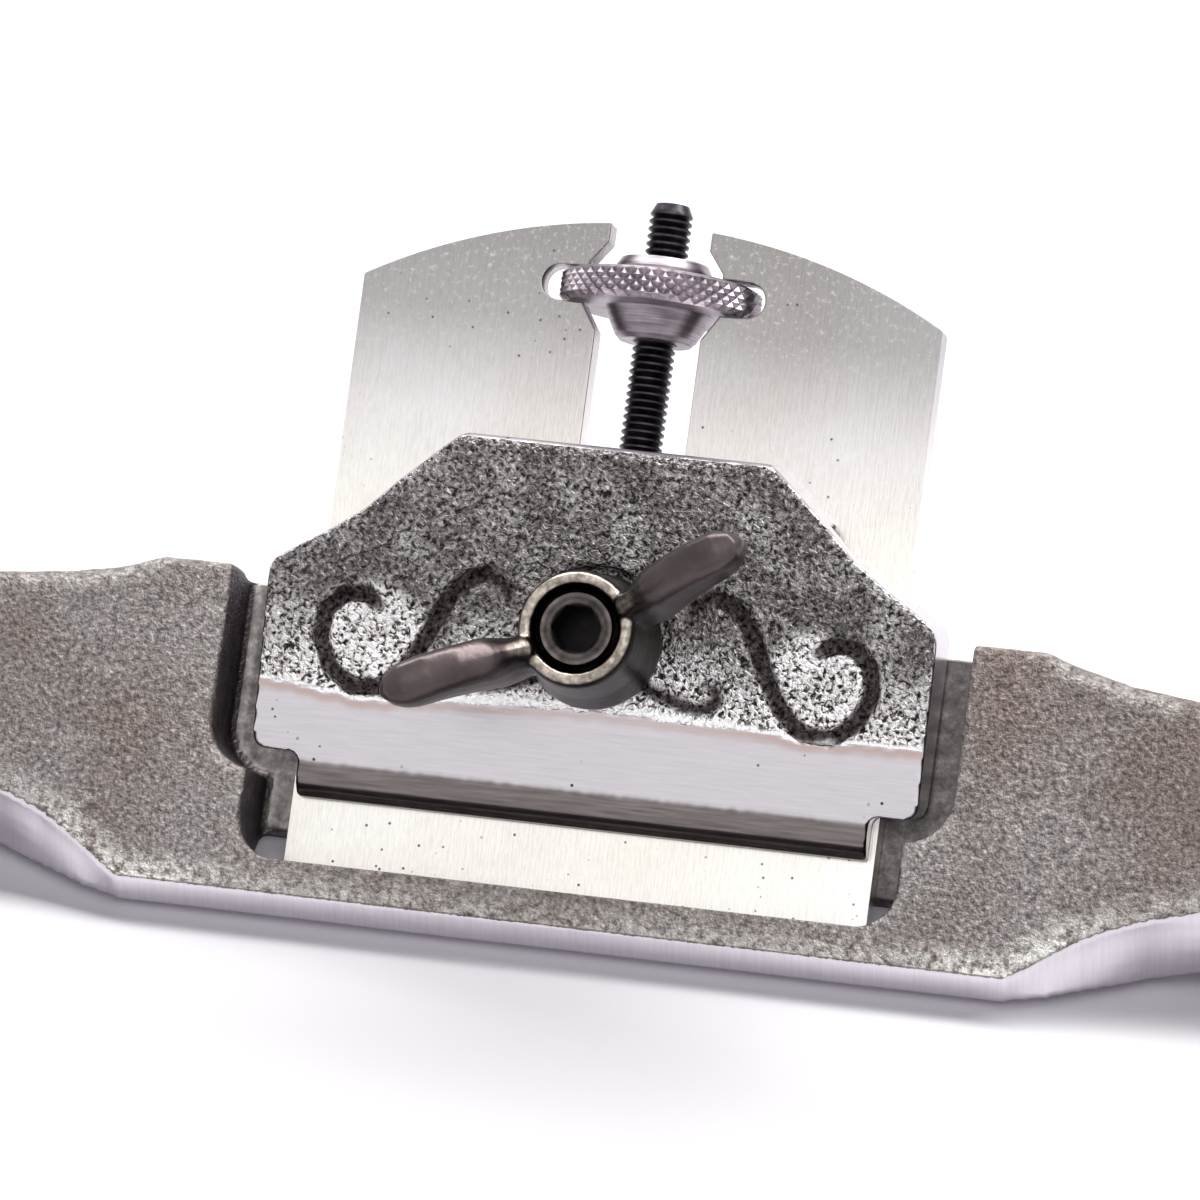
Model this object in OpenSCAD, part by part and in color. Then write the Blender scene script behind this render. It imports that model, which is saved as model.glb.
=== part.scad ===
/* [Blade] */
// Width of the blade
blade_w = 54; // [48:0.5:56]
// Thickness of the blade
blade_t = 3; // [2.4:0.1:3.4]
// Cutting edge to the crown of the arched top
blade_l = 63.1; // [61.5:0.1:68]
// Radius of the arched top
blade_arc_r = 54.9; // [45:0.5:80]
// Angle ground on the back of the edge
bevel_angle = 30; // [25:1:35]
// Width of the long slot
slot_w = 9.8; // [9.6:0.1:10.4]
// Cutting edge to the middle of the cross slot
cross_from_edge = 57; // [56:0.1:58]
// Width of the cross slot
cross_w = 20.8; // [19.6:0.1:23]
// Height of the cross slot
cross_h = 3.3; // [3.2:0.05:4]

/* [Body] */
// Overall length over both handles
overall_l = 254; // [240:1:280]
// Length of the flat sole from side to side
sole_l = 82.4; // [80:0.1:88]
// Sole in front of the bed line
sole_front = 10.1; // [9:0.1:12]
// Sole behind the bed line
sole_back = 12.4; // [11:0.1:15]
// Height of the ground edge along the toe
toe_h = 3.2; // [2.4:0.1:4]
// Height of the cheeks above the bed
cheek_n = 8.3; // [7.6:0.1:9]
// Width of the pocket between the cheeks
pocket_w = 68.4; // [66:0.1:70]
// Corner radius of the pocket
pocket_r = 4.2; // [2.5:0.1:5]
// Width of the mouth
mouth_w = 60.4; // [58:0.1:62]
// Opening between the cutting edge and the toe
mouth_gap = 1; // [0.6:0.1:2]
// Thickness of a handle at the grip
grip_t = 11; // [9:0.5:13]

/* [Lever cap] */
// Width across the shoulders of the cap
cap_w = 61.6; // [59.5:0.1:63]
// Width of the lip
lip_w = 52.8; // [46:0.1:53.4]
// Width of the straight top edge
cap_top_w = 28.6; // [24:0.1:32]
// Length of the cap from lip to top edge
cap_l = 34.6; // [33:0.1:37]
// Angle of the face to the blade
cap_tilt = 7.6; // [6:0.2:9]
// Depth of the scroll grooves
scroll_d = 0.5; // [0.2:0.1:0.8]
// Width of the scroll grooves
scroll_w = 1.2; // [0.8:0.1:1.5]

/* [Cap screw] */
// Crest diameter of the cap stud
cap_d = 7.92; // [7.5:0.01:8.2]
// Pitch of the cap stud
cap_p = 1.25; // [1:0.25:1.5]
// Across flats of the hexagon socket
hex_af = 4; // [3:0.5:4.5]
// Position of the cap stud up the bed
cap_stud_s = 21; // [20:0.1:22]

/* [Wing nut] */
// Diameter of the foot
nut_foot_d = 12.4; // [11.5:0.1:13]
// Diameter at the top ring
nut_top_d = 10.5; // [10.2:0.1:11.4]
// Height of the round part
nut_h = 10.2; // [9:0.1:11.5]
// Span across the wings
nut_span = 35.2; // [32:0.2:38]
// Angle of the wings as parked
nut_angle = 29; // [0:1:60]

/* [Adjuster] */
// Crest diameter of the adjuster stud
adj_d = 3.96; // [3.8:0.01:4.1]
// Pitch of the adjuster stud
adj_p = 0.7; // [0.5:0.05:1]
// Diameter over the knurling
wheel_d = 18.6; // [18:0.1:19.4]
// Thickness of the knurled rim
wheel_t = 2.9; // [2.6:0.05:3]
// Diamonds around the rim
knurls = 44; // [36:1:52]

/* [Hidden] */
$fn = 96;
bed = 45;
r2 = sqrt(2);
edge_z = 0.1;
fit = 0.05;
edge_s = edge_z*r2 - blade_t;
cross_s = edge_s + cross_from_edge;
bed_lip = 1;
bed_top = 24;
adj_n = -0.8;
post_top = 35;
post_bot = 26;
half_sole = sole_l/2;
lip_s = 4.5;
face_q = 2.45;
seat_n = 7.5;
nut_gap = 0.02;
hinge_n = seat_n + nut_gap;
stud_top = 17.1;
sole_mid = (bed_lip + sole_back)/2;

function lerp(a, b, t) = a + (b - a)*t;
function smooth(t) = t <= 0 ? 0 : (t >= 1 ? 1 : t*t*(3 - 2*t));
function sn(y, z) = [(y + z)/r2, (z - y)/r2];

// The row's origin is the middle of the sole behind the mouth
module on_sole() translate([0, -sole_mid, 0]) children();
module in_bed() rotate([bed, 0, 0]) children();
module in_cap() in_bed() translate([0, lip_s, blade_t]) rotate([cap_tilt, 0, 0]) children();

// Profile of the casting beside the pocket, as distance up the bed and height above it
toe = sn(-sole_front, 0);
block = [
  sn(-sole_front + 0.35, toe_h + 0.2), [5, cheek_n + 0.75], [15, cheek_n + 0.35],
  [bed_top + 0.3, cheek_n], [bed_top + 0.7, cheek_n - 0.8], [bed_top + 0.7, cheek_n - 3.2],
  [bed_top + 0.5, 2.5], [bed_top, 0], [bed_top - 0.7, -2.2], [bed_top - 1.8, -4],
  [bed_top - 3.6, -5.3], [17.5, -6.1], [14.6, -6.8], [12, -7.6],
  sn(sole_back, 1.6), sn(sole_back, 0), sn(5, 0), sn(-2, 0),
  sn(-sole_front + 0.25, 0), sn(-sole_front, 0.25), sn(-sole_front, toe_h - 0.1)];

// Handle stations from the block outwards: arris, top edge, front lower corner as distance and height, back
function kx(i) = [0, 3.5, 7.5, 12, 18, 27, 39, 52, 64, 73, 79, 82.6, 84.7][i];
stations = [
  [-4.9, 24.2, -7.0, 7.1, -5.2], [-2.5, 23.2, -6.3, 6.4, -4.0], [0.05, 22.5, -4.85, 5.05, -3.0],
  [1.75, 22.0, -3.1, 3.8, -2.3], [3.6, 21.4, -1.6, 3.7, -2.0], [5.7, 20.8, 0.8, 4.2, -2.1],
  [6.8, 20.4, 2.2, 4.2, -2.3], [6.6, 20.5, 2.3, 4.1, -2.6], [6.2, 20.9, 2.2, 4.1, -2.6],
  [6.9, 20.5, 3.1, 4.2, -2.0], [8.4, 18.9, 5.2, 4.4, -0.7], [10.2, 17.0, 7.6, 4.3, 0.8],
  [12.2, 14.9, 10.6, 4.1, 2.6]];
function front_n(i) = cheek_n + [0.75, 0.55, 0.4, 0.3, 0.25, 0.25, 0.25, 0.25, 0.25, 0.1, -0.5, -1.6, -3.2][i];
function dsec(i) = let (
    v = stations[i], b = v[0], t = v[1], lo = v[2], q2 = v[3],
    nf = front_n(i), nb = nf - (nf - v[4])*(i > 3 ? grip_t/11 : 1),
    m = (t + lo)/2 + 0.4, q1 = lerp(nb, nf, 0.62), u = min(0.9, (t - b)/5), flat = 1 - smooth((i - 3)/3))
  concat(
    [[b, nf], [lerp(b, t, 0.35), nf], [lerp(b, t, 0.68), nf], [t - u, nf], [t, nf - u]],
    [for (k = [0:3]) let (a = 12 + 22*k) [m + (t - m)*cos(a), q1 - (q1 - nb)*sin(a)]],
    [for (k = [0:5]) let (a = 6 + 15.4*k) [m - (m - lo)*sin(a), q2 - (q2 - nb)*cos(a)]],
    [for (k = [0:4]) let (a = 16*k, c = [b - (b - lo)*cos(a), q2 + (nf - 0.3 - q2)*sin(a)])
      lerp(c, lerp([lo, q2], [b - 0.1, nf - 0.35], k/5), flat)],
    [[b - 0.25*(1 - flat) - 0.1*flat, nf - 0.25]]);
// Outline of the block in the order of the handle stations
root = [
  for (k = [0:4]) block[k],
  [bed_top + 0.7, 5.1], [bed_top + 0.5, 2.5], [bed_top, 0], [bed_top - 1.8, -4], [17.5, -6.1], [12, -7.6],
  sn(sole_back, 1.6), sn(sole_back, 0.03), sn(5, 0.03), sn(-3, 0.03), sn(-sole_front + 0.25, 0.03),
  for (z = [0.6:0.6:2.4]) sn(-sole_front, z), sn(-sole_front, toe_h - 0.1)];
function above_sole(v) = v + max(0, (0.12*r2 - v[0] - v[1])/2)*[1, 1];
function section(i) = i == 0 ? root : let (d = dsec(i), w = smooth(kx(i)/10), w2 = smooth(kx(i)/7))
  [for (k = [0:20]) above_sole(k < 5 || k > 14 ? d[k] : lerp(root[k], d[k], k < 9 ? w2 : w))];
nk = 13;
function stretch(i) = half_sole + kx(i)*(overall_l/2 - half_sole)/84.7;
mid = [9, 2];
function ring(i, x, f) = let (c = section(i)) [for (k = [0:20]) let (v = mid + f*(c[k] - mid)) [x, v[0], v[1]]];
handle_pts = concat(ring(0, half_sole - 4, 0.94), ring(0, half_sole, 0.994),
  [for (i = [1:nk - 1]) each ring(i, stretch(i), 1)],
  [[half_sole - 4, 9, 2], [overall_l/2 + 0.3, 13.2, 4.4]]);
function quad(a, b, c, d, flip, cross) = flip
  ? (cross ? [[a, c, d], [a, d, b]] : [[a, c, b], [b, c, d]])
  : (cross ? [[a, b, d], [a, d, c]] : [[a, b, c], [b, d, c]]);
function skin(n, m, flip, knurled = false) = concat(
    [for (i = [0:n - 2]) for (k = [0:m - 1]) let (a = i*m + k, b = i*m + (k + 1)%m)
        each quad(a, b, a + m, b + m, flip, knurled && (i + k)%2 == 0)],
    [for (k = [0:m - 1]) let (j = (k + 1)%m) flip ? [n*m, k, j] : [n*m, j, k]],
    [for (k = [0:m - 1]) let (j = (k + 1)%m, e = (n - 1)*m) flip ? [n*m + 1, e + j, e + k] : [n*m + 1, e + k, e + j]]);

module across(w) {
  multmatrix([[0, 0, 1, -w/2], [1, 0, 0, 0], [0, 1, 0, 0], [0, 0, 0, 1]]) linear_extrude(height = w) children();
}

module rounded_front(w, l, r) {
  union() {
    translate([-w/2, r]) square([w, l - r]);
    translate([-w/2 + r, 0]) square([w - 2*r, l]);
    for (x = [-1, 1]) translate([x*(w/2 - r), r]) circle(r);
  }
}

module body() {
  lean = 25;
  color("#8f8a86") on_sole() difference() {
    union() {
      in_bed() across(sole_l) polygon(block);
      for (q = [0, 1]) mirror([q, 0, 0]) in_bed()
        polyhedron(points = handle_pts, faces = skin(nk + 1, 21, false), convexity = 6);
      // Rib and post behind the bed that hold the two studs
      in_bed() intersection() {
        translate([-6, 4, -9]) cube([12, post_top - 4, 9]);
        across(30) polygon([[4, -9.4], [4, 0], [post_top, 0], [post_top, -5.2], [post_top - 3, -7.4],
          [22, -8.8], [8, -9.4]]);
        rotate([-bed, 0, 0]) translate([-10, -5, 0]) cube([20, 60, 60]);
      }
      in_bed() translate([-slot_w/2 + 0.4, post_bot, -2]) cube([slot_w - 0.8, post_top - post_bot, 4.3]);
    }
    // Pocket above the bed, between the cheeks
    in_bed() difference() {
      translate([0, 6.2, 0]) linear_extrude(height = 40) rounded_front(pocket_w, 60, pocket_r);
      translate([-slot_w/2 + 0.4, post_bot, -2]) cube([slot_w - 0.8, post_top - post_bot, 4.3]);
    }
    // Mouth with its leaning front wall
    intersection() {
      translate([0, -blade_t*r2 - mouth_gap, 0]) rotate([lean, 0, 0]) translate([0, 0, -4])
        linear_extrude(height = 30) rounded_front(mouth_w, 30, 3.6);
      union() {
        in_bed() translate([-50, -30, 0]) cube([100, 60, 40]);
        translate([-50, -20, -6]) cube([100, 20 + bed_lip, 6 + bed_lip]);
      }
      in_bed() translate([-50, -30, -20]) cube([100, 30 + 12, 60]);
    }
    in_bed() {
      translate([0, cap_stud_s, -8]) cylinder(d = cap_d, h = 20);
      translate([0, post_bot, adj_n]) rotate([-90, 0, 0]) cylinder(d = adj_d, h = 20);
    }
  }
}

// Stud with thread rings from z = a to b on a length h
function thread_pts(r, p, a, b) = [for (z = [a:p:b - p + 0.001])
  each [[r, z], [r, z + 0.12*p], [r - 0.54*p, z + 0.5*p], [r, z + 0.88*p]]];

module adjuster_stud() {
  color("#26242a") on_sole() in_bed() translate([0, post_bot, adj_n]) rotate([-90, 0, 0]) {
    h = cross_s + 8.6 - post_bot;
    a = post_top - post_bot + 0.2;
    n = floor((h - 0.5 - a)/adj_p);
    rotate_extrude() polygon(concat([[0, 0], [adj_d/2, 0], [adj_d/2, a]],
      thread_pts(adj_d/2, adj_p, a, a + n*adj_p), [[adj_d/2, a + n*adj_p], [adj_d/2 - 0.45, h], [0, h]]));
  }
}

module cap_stud() {
  color("#55504e") on_sole() in_bed() translate([0, cap_stud_s, -8]) difference() {
    h = stud_top + 8;
    a = 8.6;
    n = floor((h - 0.9 - a)/cap_p);
    rotate_extrude() polygon(concat([[0, 0], [cap_d/2, 0], [cap_d/2, a]],
      thread_pts(cap_d/2, cap_p, a, a + n*cap_p), [[cap_d/2, a + n*cap_p], [3.25, h], [0, h]]));
    translate([0, 0, h - 4]) cylinder(d = hex_af/cos(30), h = 5, $fn = 6);
  }
}

module blade_outline() {
  top = edge_s + blade_l;
  jaw = cross_s - cross_h/2;
  lip = cross_s + cross_h/2;
  difference() {
    intersection() {
      translate([-blade_w/2, edge_s]) square([blade_w, blade_l]);
      translate([0, top - blade_arc_r]) circle(blade_arc_r, $fn = 180);
    }
    translate([0, 12.4 + slot_w/2]) circle(d = slot_w);
    translate([-slot_w/2, 12.4 + slot_w/2]) square([slot_w, jaw - 15]);
    polygon([[-slot_w/2, jaw - 2.4], [slot_w/2, jaw - 2.4], [6.3, jaw - 0.2], [6.3, jaw + 0.5],
      [-6.3, jaw + 0.5], [-6.3, jaw - 0.2]]);
    translate([-cross_w/2 + cross_h/2, cross_s - cross_h/2]) square([cross_w - cross_h, cross_h]);
    for (x = [-1, 1]) translate([x*(cross_w - cross_h)/2, cross_s]) circle(d = cross_h);
    polygon([[-6.2, lip - 0.3], [6.2, lip - 0.3], [6.2, lip + 0.5], [4.7, lip + 2.5],
      [4.7, lip + 9], [-4.7, lip + 9], [-4.7, lip + 2.5], [-6.2, lip + 0.5]]);
  }
}

module blade() {
  color("#c4c3bd") on_sole() in_bed() difference() {
    linear_extrude(height = blade_t) blade_outline();
    translate([0, edge_s, blade_t]) across(2*blade_w)
      polygon([[-2, 0], [0, 0], [12, -12*tan(bevel_angle)], [12, -20], [-2, -20]]);
  }
}

function arc(cx, cy, r, a, b, n) = [for (i = [0:n]) let (t = a + (b - a)*i/n) [cx + r*cos(t), cy + r*sin(t)]];
w1 = cap_w/2;
w0 = lip_w/2;
wt = cap_top_w/2;
sh = 4.2;
half_cap = concat(
  [[w0, -1], [w0, sh - 0.8]],
  arc(w0 + 0.8, sh - 0.8, 0.8, 180, 90, 4),
  arc(w1 - 1.2, sh + 1.2, 1.2, -90, 0, 5),
  [[w1 + 0.1, 20], [w1 + 0.05, 20.6], [w1 - 0.35, 21.5]],
  [[w1 - 2.6, 23.0], [w1 - 5.3, 24.7], [w1 - 8.2, 26.8], [w1 - 11, 29.6], [wt + 2.2, 32.6], [wt + 0.5, cap_l - 0.5]],
  [[wt - 0.3, cap_l]]);
cap_outline = concat(half_cap, [for (i = [len(half_cap) - 1:-1:0]) [-half_cap[i][0], half_cap[i][1]]]);

// Centre lines of the scrolls on the cap face
scroll = [[10.4, 22.2], [12.1, 21.6], [13.6, 20.2], [14.6, 18.2], [15.7, 15.7], [17.3, 12.8],
  [19.6, 10.8], [22.2, 10.6], [24.4, 12.3], [25.5, 14.9], [25.2, 17.3], [23.7, 18.9], [21.6, 19.1], [20.1, 18.0]];
function unit(v) = v/norm(v);
function tang(p, i) = unit(p[min(i + 1, len(p) - 1)] - p[max(i - 1, 0)]);
function stroke(p, w) = let (n = len(p) - 1) concat(
  [for (i = [0:n]) let (t = tang(p, i), h = w/2*(i == 0 || i == n ? 0.45 : 1)) p[i] + h*[-t[1], t[0]]],
  [for (i = [n:-1:0]) let (t = tang(p, i), h = w/2*(i == 0 || i == n ? 0.45 : 1)) p[i] - h*[-t[1], t[0]]]);
function flipx(p) = [for (v = p) [-v[0], v[1]]];

module lever_cap() {
  gap = 0.03;
  color("#8d8a88") on_sole() difference() {
    intersection() {
      in_cap() translate([0, 0, -20]) linear_extrude(height = 20 + face_q) polygon(cap_outline);
      // Side view with the rolled lip and a softened top edge
      in_cap() across(80) polygon(concat([[2.4, -20], [0.2, -0.6]], arc(2.4, 0.05, 2.4, 180, 90, 7),
        [[cap_l - 0.6, face_q], [cap_l, face_q - 0.6], [cap_l + 2, -20]]));
      in_bed() union() {
        translate([-60, -5, blade_t + gap]) cube([120, 80, 40]);
        for (x = [-1, 1]) translate([x*(blade_w/2 + 0.5 + 10) - 10, -5, 0.5]) cube([20, 80, 40]);
      }
    }
    // Hollow under the face
    intersection() {
      in_cap() translate([-23, 6, -30]) cube([46, cap_l - 11, 30 + face_q - 3.2]);
      in_bed() translate([-30, -5, blade_t - 2]) cube([60, 80, 40]);
    }
    in_bed() translate([0, cap_stud_s, 0]) cylinder(d = cap_d + 1.1, h = 30);
    in_bed() translate([0, cap_stud_s, seat_n]) cylinder(d = nut_foot_d + 1.4, h = 20);
    if (scroll_d > 0) in_cap() translate([0, 0, face_q - scroll_d]) linear_extrude(height = 5) {
      polygon(stroke(scroll, scroll_w));
      polygon(stroke(flipx(scroll), scroll_w));
    }
  }
}

// Wing stations: distance out by half the span, height by the round part, half width, half thickness, lean
wings = [[0.165, 0.549, 2.8, 1.9, 40], [0.295, 0.706, 3.2, 1.75, 44], [0.42, 0.922, 3.3, 1.5, 46],
  [0.545, 1.147, 3.4, 1.35, 44], [0.676, 1.343, 3.4, 1.3, 36], [0.795, 1.471, 3.3, 1.3, 26],
  [0.898, 1.529, 2.9, 1.25, 14], [0.966, 1.549, 2.1, 1.05, 6], [0.994, 1.549, 1.1, 0.6, 0]];
function wing_ring(v) = [for (i = [0:15]) let (a = 22.5*i, c = cos(a), s = sin(a), e = v[4],
    u = v[2]*sign(c)*pow(abs(c), 0.8), w = v[3]*sign(s)*pow(abs(s), 0.8))
  [v[0]*nut_span/2 - u*sin(e), w, v[1]*nut_h + u*cos(e)]];
wing_pts = concat([for (v = wings) each wing_ring(v)],
  [[nut_span*0.071, 0, nut_h*0.53], [nut_span/2, 0, nut_h*1.549]]);

module wing_nut() {
  color("#5b534d") on_sole() in_bed() translate([0, cap_stud_s, hinge_n]) rotate([0, 0, nut_angle]) difference() {
    union() {
      rotate_extrude() polygon([[0, 0], [nut_foot_d/2 - 0.5, 0], [nut_foot_d/2, 0.5], [nut_foot_d/2, 1.2],
        [nut_top_d/2 + 0.45, nut_h*0.45], [nut_top_d/2 + 0.1, nut_h - 1], [nut_top_d/2 - 0.1, nut_h - 0.35],
        [nut_top_d/2 - 0.45, nut_h], [0, nut_h]]);
      for (q = [0, 180]) rotate([0, 0, q])
        polyhedron(points = wing_pts, faces = skin(9, 16, false), convexity = 6);
    }
    translate([0, 0, -30]) cylinder(d = cap_d + 2*fit, h = 60);
    translate([0, 0, nut_h - 0.35]) cylinder(d1 = cap_d + 2*fit, d2 = cap_d + 2*fit + 1.2, h = 0.6);
  }
}

// Rim with diamond knurling as one closed skin
module rim() {
  m = 2*knurls;
  r = wheel_d/2;
  d = 0.34;
  z0 = 0.5;
  z1 = wheel_t - 0.35;
  rows = 5;
  pts = concat(
    [for (i = [0:m - 1]) [(r - 0.85)*cos(i*360/m), (r - 0.85)*sin(i*360/m), 0]],
    [for (j = [0:rows - 1]) for (i = [0:m - 1]) let (q = ((i + j)%2 == 0) ? r : r - d, a = i*360/m)
      [q*cos(a), q*sin(a), z0 + (z1 - z0)*j/(rows - 1)]],
    [for (i = [0:m - 1]) [(r - 0.75)*cos(i*360/m), (r - 0.75)*sin(i*360/m), wheel_t]],
    [[0, 0, 0], [0, 0, wheel_t]]);
  polyhedron(points = pts, faces = skin(rows + 2, m, true, true), convexity = 4);
}

module adjuster_wheel() {
  color("#8b858b") on_sole() in_bed() translate([0, cross_s - wheel_t/2, adj_n]) rotate([-90, 0, 0]) difference() {
    union() {
      rim();
      rotate_extrude() polygon([[0, -2.8], [3.3, -2.8], [3.75, -2.35], [5.05, 0], [5.05, 0.4], [0, 0.4]]);
      rotate_extrude() polygon([[0, wheel_t - 0.4], [4.6, wheel_t - 0.4], [4.55, wheel_t + 0.9],
        [4.0, wheel_t + 1.8], [0, wheel_t + 1.8]]);
    }
    translate([0, 0, -10]) cylinder(d = adj_d + 2*fit, h = 20 + wheel_t);
  }
}

body();
adjuster_stud();
cap_stud();
blade();
lever_cap();
wing_nut();
adjuster_wheel();
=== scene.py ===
"""A cast metal spokeshave with a screw-adjusted blade, a scrolled lever cap and a wing nut."""

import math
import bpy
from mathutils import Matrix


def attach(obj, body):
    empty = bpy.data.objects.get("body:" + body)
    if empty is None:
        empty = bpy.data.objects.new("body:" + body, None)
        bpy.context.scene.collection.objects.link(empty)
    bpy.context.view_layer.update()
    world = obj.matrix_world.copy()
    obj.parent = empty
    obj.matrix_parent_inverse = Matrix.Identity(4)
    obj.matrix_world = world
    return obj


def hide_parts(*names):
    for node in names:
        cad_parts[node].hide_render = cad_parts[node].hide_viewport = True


bl_info = {
    "name": "Cast Spokeshave",
    "version": (1, 0, 0),
    "blender": (4, 5, 0),
    "location": "3D View > Sidebar > Spokeshave",
    "description": "Builds a cast spokeshave piece by piece around its packed frame",
    "category": "Add Mesh",
}

import bmesh
import bpy
from bpy.props import FloatProperty, FloatVectorProperty, PointerProperty
from mathutils import Matrix, Vector, noise
from mathutils.kdtree import KDTree

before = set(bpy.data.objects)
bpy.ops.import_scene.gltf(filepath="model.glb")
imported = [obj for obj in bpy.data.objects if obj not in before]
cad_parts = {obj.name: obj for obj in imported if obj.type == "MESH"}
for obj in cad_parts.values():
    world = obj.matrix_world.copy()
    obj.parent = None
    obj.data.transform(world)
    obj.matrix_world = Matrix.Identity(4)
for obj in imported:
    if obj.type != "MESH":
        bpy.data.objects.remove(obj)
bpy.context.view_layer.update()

MM = 0.001
HALF = math.sqrt(0.5)
# The blade lies on a bed at 45 degrees: s runs up the bed and n stands square to it.
# The bed meets the sole 6.7 mm in front of the row's origin.
SOLE_MID = 6.7
BED_TO_ROW = Matrix(((1, 0, 0), (0, HALF, -HALF), (0, HALF, HALF)))
ROW_TO_BED = BED_TO_ROW.transposed()
CAP_STUD_S = 21.0
CAP_LIP_S = 4.5
CAP_TILT = math.radians(7.6)
CAP_FACE_Q = 2.45
WING_TURN = math.radians(29)
BLADE_T = 3.0
NUT_SEAT_N = 7.5

# Zones of the body in bed millimetres: half widths, places up the bed (s) and heights off it (n)
POCKET_HALF, POCKET_FOOT_S, POCKET_TOP_S, CHEEK_TOP_N = 34.6, 0.2, 26.0, 7.6
MOUTH_HALF, MOUTH_FRONT_S = 31.0, -4.2
THROAT_HALF, THROAT_TOP_S, THROAT_LOW_N = 31.5, 12.0, -6.0
REAR_HALF = 37.5
SOLE_HALF = 41.0
# The grinding fades out between these places along the handles
GRIND_FADE = (121.0, 112.0)
# A surface faces a direction when the cosine between the two is over this
FACING = 0.9

# What each piece's vertices tell its material
BODY_LAYERS = ("ground", "floor", "wear", "wall", "shade")
CAP_LAYERS = ("band", "groove", "rubbed", "painted_crest_highlight", "warm", "lip", "pitted")
NUT_LAYERS = ("ring", "wear_and_highlight", "painted_nut_shade")

# What the lengths and the colours on the panel have in common
LENGTH = {"unit": "LENGTH", "precision": 5}
COLOUR = {"subtype": "COLOR", "size": 3, "min": 0, "max": 1}

# Object coordinates in millimetres, turned so that Y runs up the bed and starts where it meets the sole
BED_MILLIMETRES = {"Rotation": (-math.radians(45), 0, 0), "Scale": (1000, 1000, 1000),
                   "Location": (0, SOLE_MID * HALF, -SOLE_MID * HALF)}


def linear(hex_colour):
    """sRGB hex to linear RGB."""
    channels = [int(hex_colour[i:i + 2], 16) / 255 for i in (1, 3, 5)]
    return tuple(c / 12.92 if c <= 0.04045 else ((c + 0.055) / 1.055) ** 2.4 for c in channels)


def tone(colour, share):
    """A linear colour made darker or lighter, with its alpha."""
    return (*(min(1.0, c * share) for c in colour), 1.0)


def paint(hex_colour):
    """A fixed colour as a socket takes it."""
    return tone(linear(hex_colour), 1)


def smooth(edge0, edge1, value):
    """0 before edge0, 1 past edge1 and a soft step between them."""
    t = min(1.0, max(0.0, (value - edge0) / (edge1 - edge0)))
    return t * t * (3 - 2 * t)


def steps(value, points):
    """Straight-line reading of a table of (place, height)."""
    if value <= points[0][0]:
        return points[0][1]
    for (x0, y0), (x1, y1) in zip(points, points[1:]):
        if value <= x1:
            return y0 + (y1 - y0) * (value - x0) / (x1 - x0)
    return points[-1][1]


def add(tree, kind, values=(), links=()):
    """Adds a node, sets its options, inputs and colour stops, and links its inputs."""
    node = tree.nodes.new(kind)
    for key, value in dict(values).items():
        if key == "stops":
            node.color_ramp.elements.remove(node.color_ramp.elements[1])
            for i, (place, colour) in enumerate(value):
                element = node.color_ramp.elements[0] if i == 0 else node.color_ramp.elements.new(place)
                element.position = place
                element.color = (colour, colour, colour, 1) if isinstance(colour, float) else colour
        elif isinstance(key, str) and hasattr(node, key):
            setattr(node, key, value)
        else:
            node.inputs[key].default_value = value
    for key, source in dict(links).items():
        if isinstance(source, bpy.types.Node):
            source = next(o for o in source.outputs if o.enabled)
        tree.links.new(source, node.inputs[key])
    return node


def blank_tree(owner):
    """The emptied node tree of a material or a world."""
    owner.use_nodes = True
    owner.node_tree.nodes.clear()
    return owner.node_tree


def bed_material(name):
    """A new material, its tree, and each point's place on the object in bed millimetres."""
    material = bpy.data.materials.new(name)
    tree = blank_tree(material)
    at = add(tree, "ShaderNodeMapping", BED_MILLIMETRES,
             {"Vector": add(tree, "ShaderNodeTexCoord").outputs["Object"]})
    return material, tree, at


def seen_rays(tree):
    """1 for what the camera, a reflection or a clear thing sees, and 0 for the light that falls on things."""
    ray = add(tree, "ShaderNodeLightPath")
    seen = ray.outputs["Is Camera Ray"]
    for kind in ("Is Glossy Ray", "Is Transmission Ray"):
        seen = add(tree, "ShaderNodeMath", {"operation": "MAXIMUM"}, {0: seen, 1: ray.outputs[kind]})
    return seen


def merged_copy(node):
    """A bmesh of a CAD node in bed millimetres, with its loose triangles joined."""
    work = bmesh.new()
    work.from_mesh(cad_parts[node].data)
    bmesh.ops.scale(work, vec=(1000, 1000, 1000), verts=work.verts)
    bmesh.ops.remove_doubles(work, verts=work.verts, dist=0.002)
    bmesh.ops.translate(work, vec=(0, SOLE_MID, 0), verts=work.verts)
    bmesh.ops.transform(work, matrix=ROW_TO_BED.to_4x4(), verts=work.verts)
    return work


def place(work, name, body, node, slot, material, sharp=180, flat_area=math.inf):
    """Turns a bmesh in bed millimetres into a piece in the row frame; big faces are shaded flat."""
    for face in work.faces:
        face.smooth = face.calc_area() < flat_area
    bmesh.ops.transform(work, matrix=BED_TO_ROW.to_4x4(), verts=work.verts)
    bmesh.ops.translate(work, vec=(0, -SOLE_MID, 0), verts=work.verts)
    bmesh.ops.scale(work, vec=(MM, MM, MM), verts=work.verts)
    for edge in work.edges:
        edge.smooth = len(edge.link_faces) != 2 or edge.calc_face_angle(0) < math.radians(sharp)
    mesh = bpy.data.meshes.new(name)
    work.to_mesh(mesh)
    work.free()
    mesh.materials.append(material)
    piece = bpy.data.objects.new(name, mesh)
    bpy.context.scene.collection.objects.link(piece)
    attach(piece, body)
    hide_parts(node)
    return piece


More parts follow.
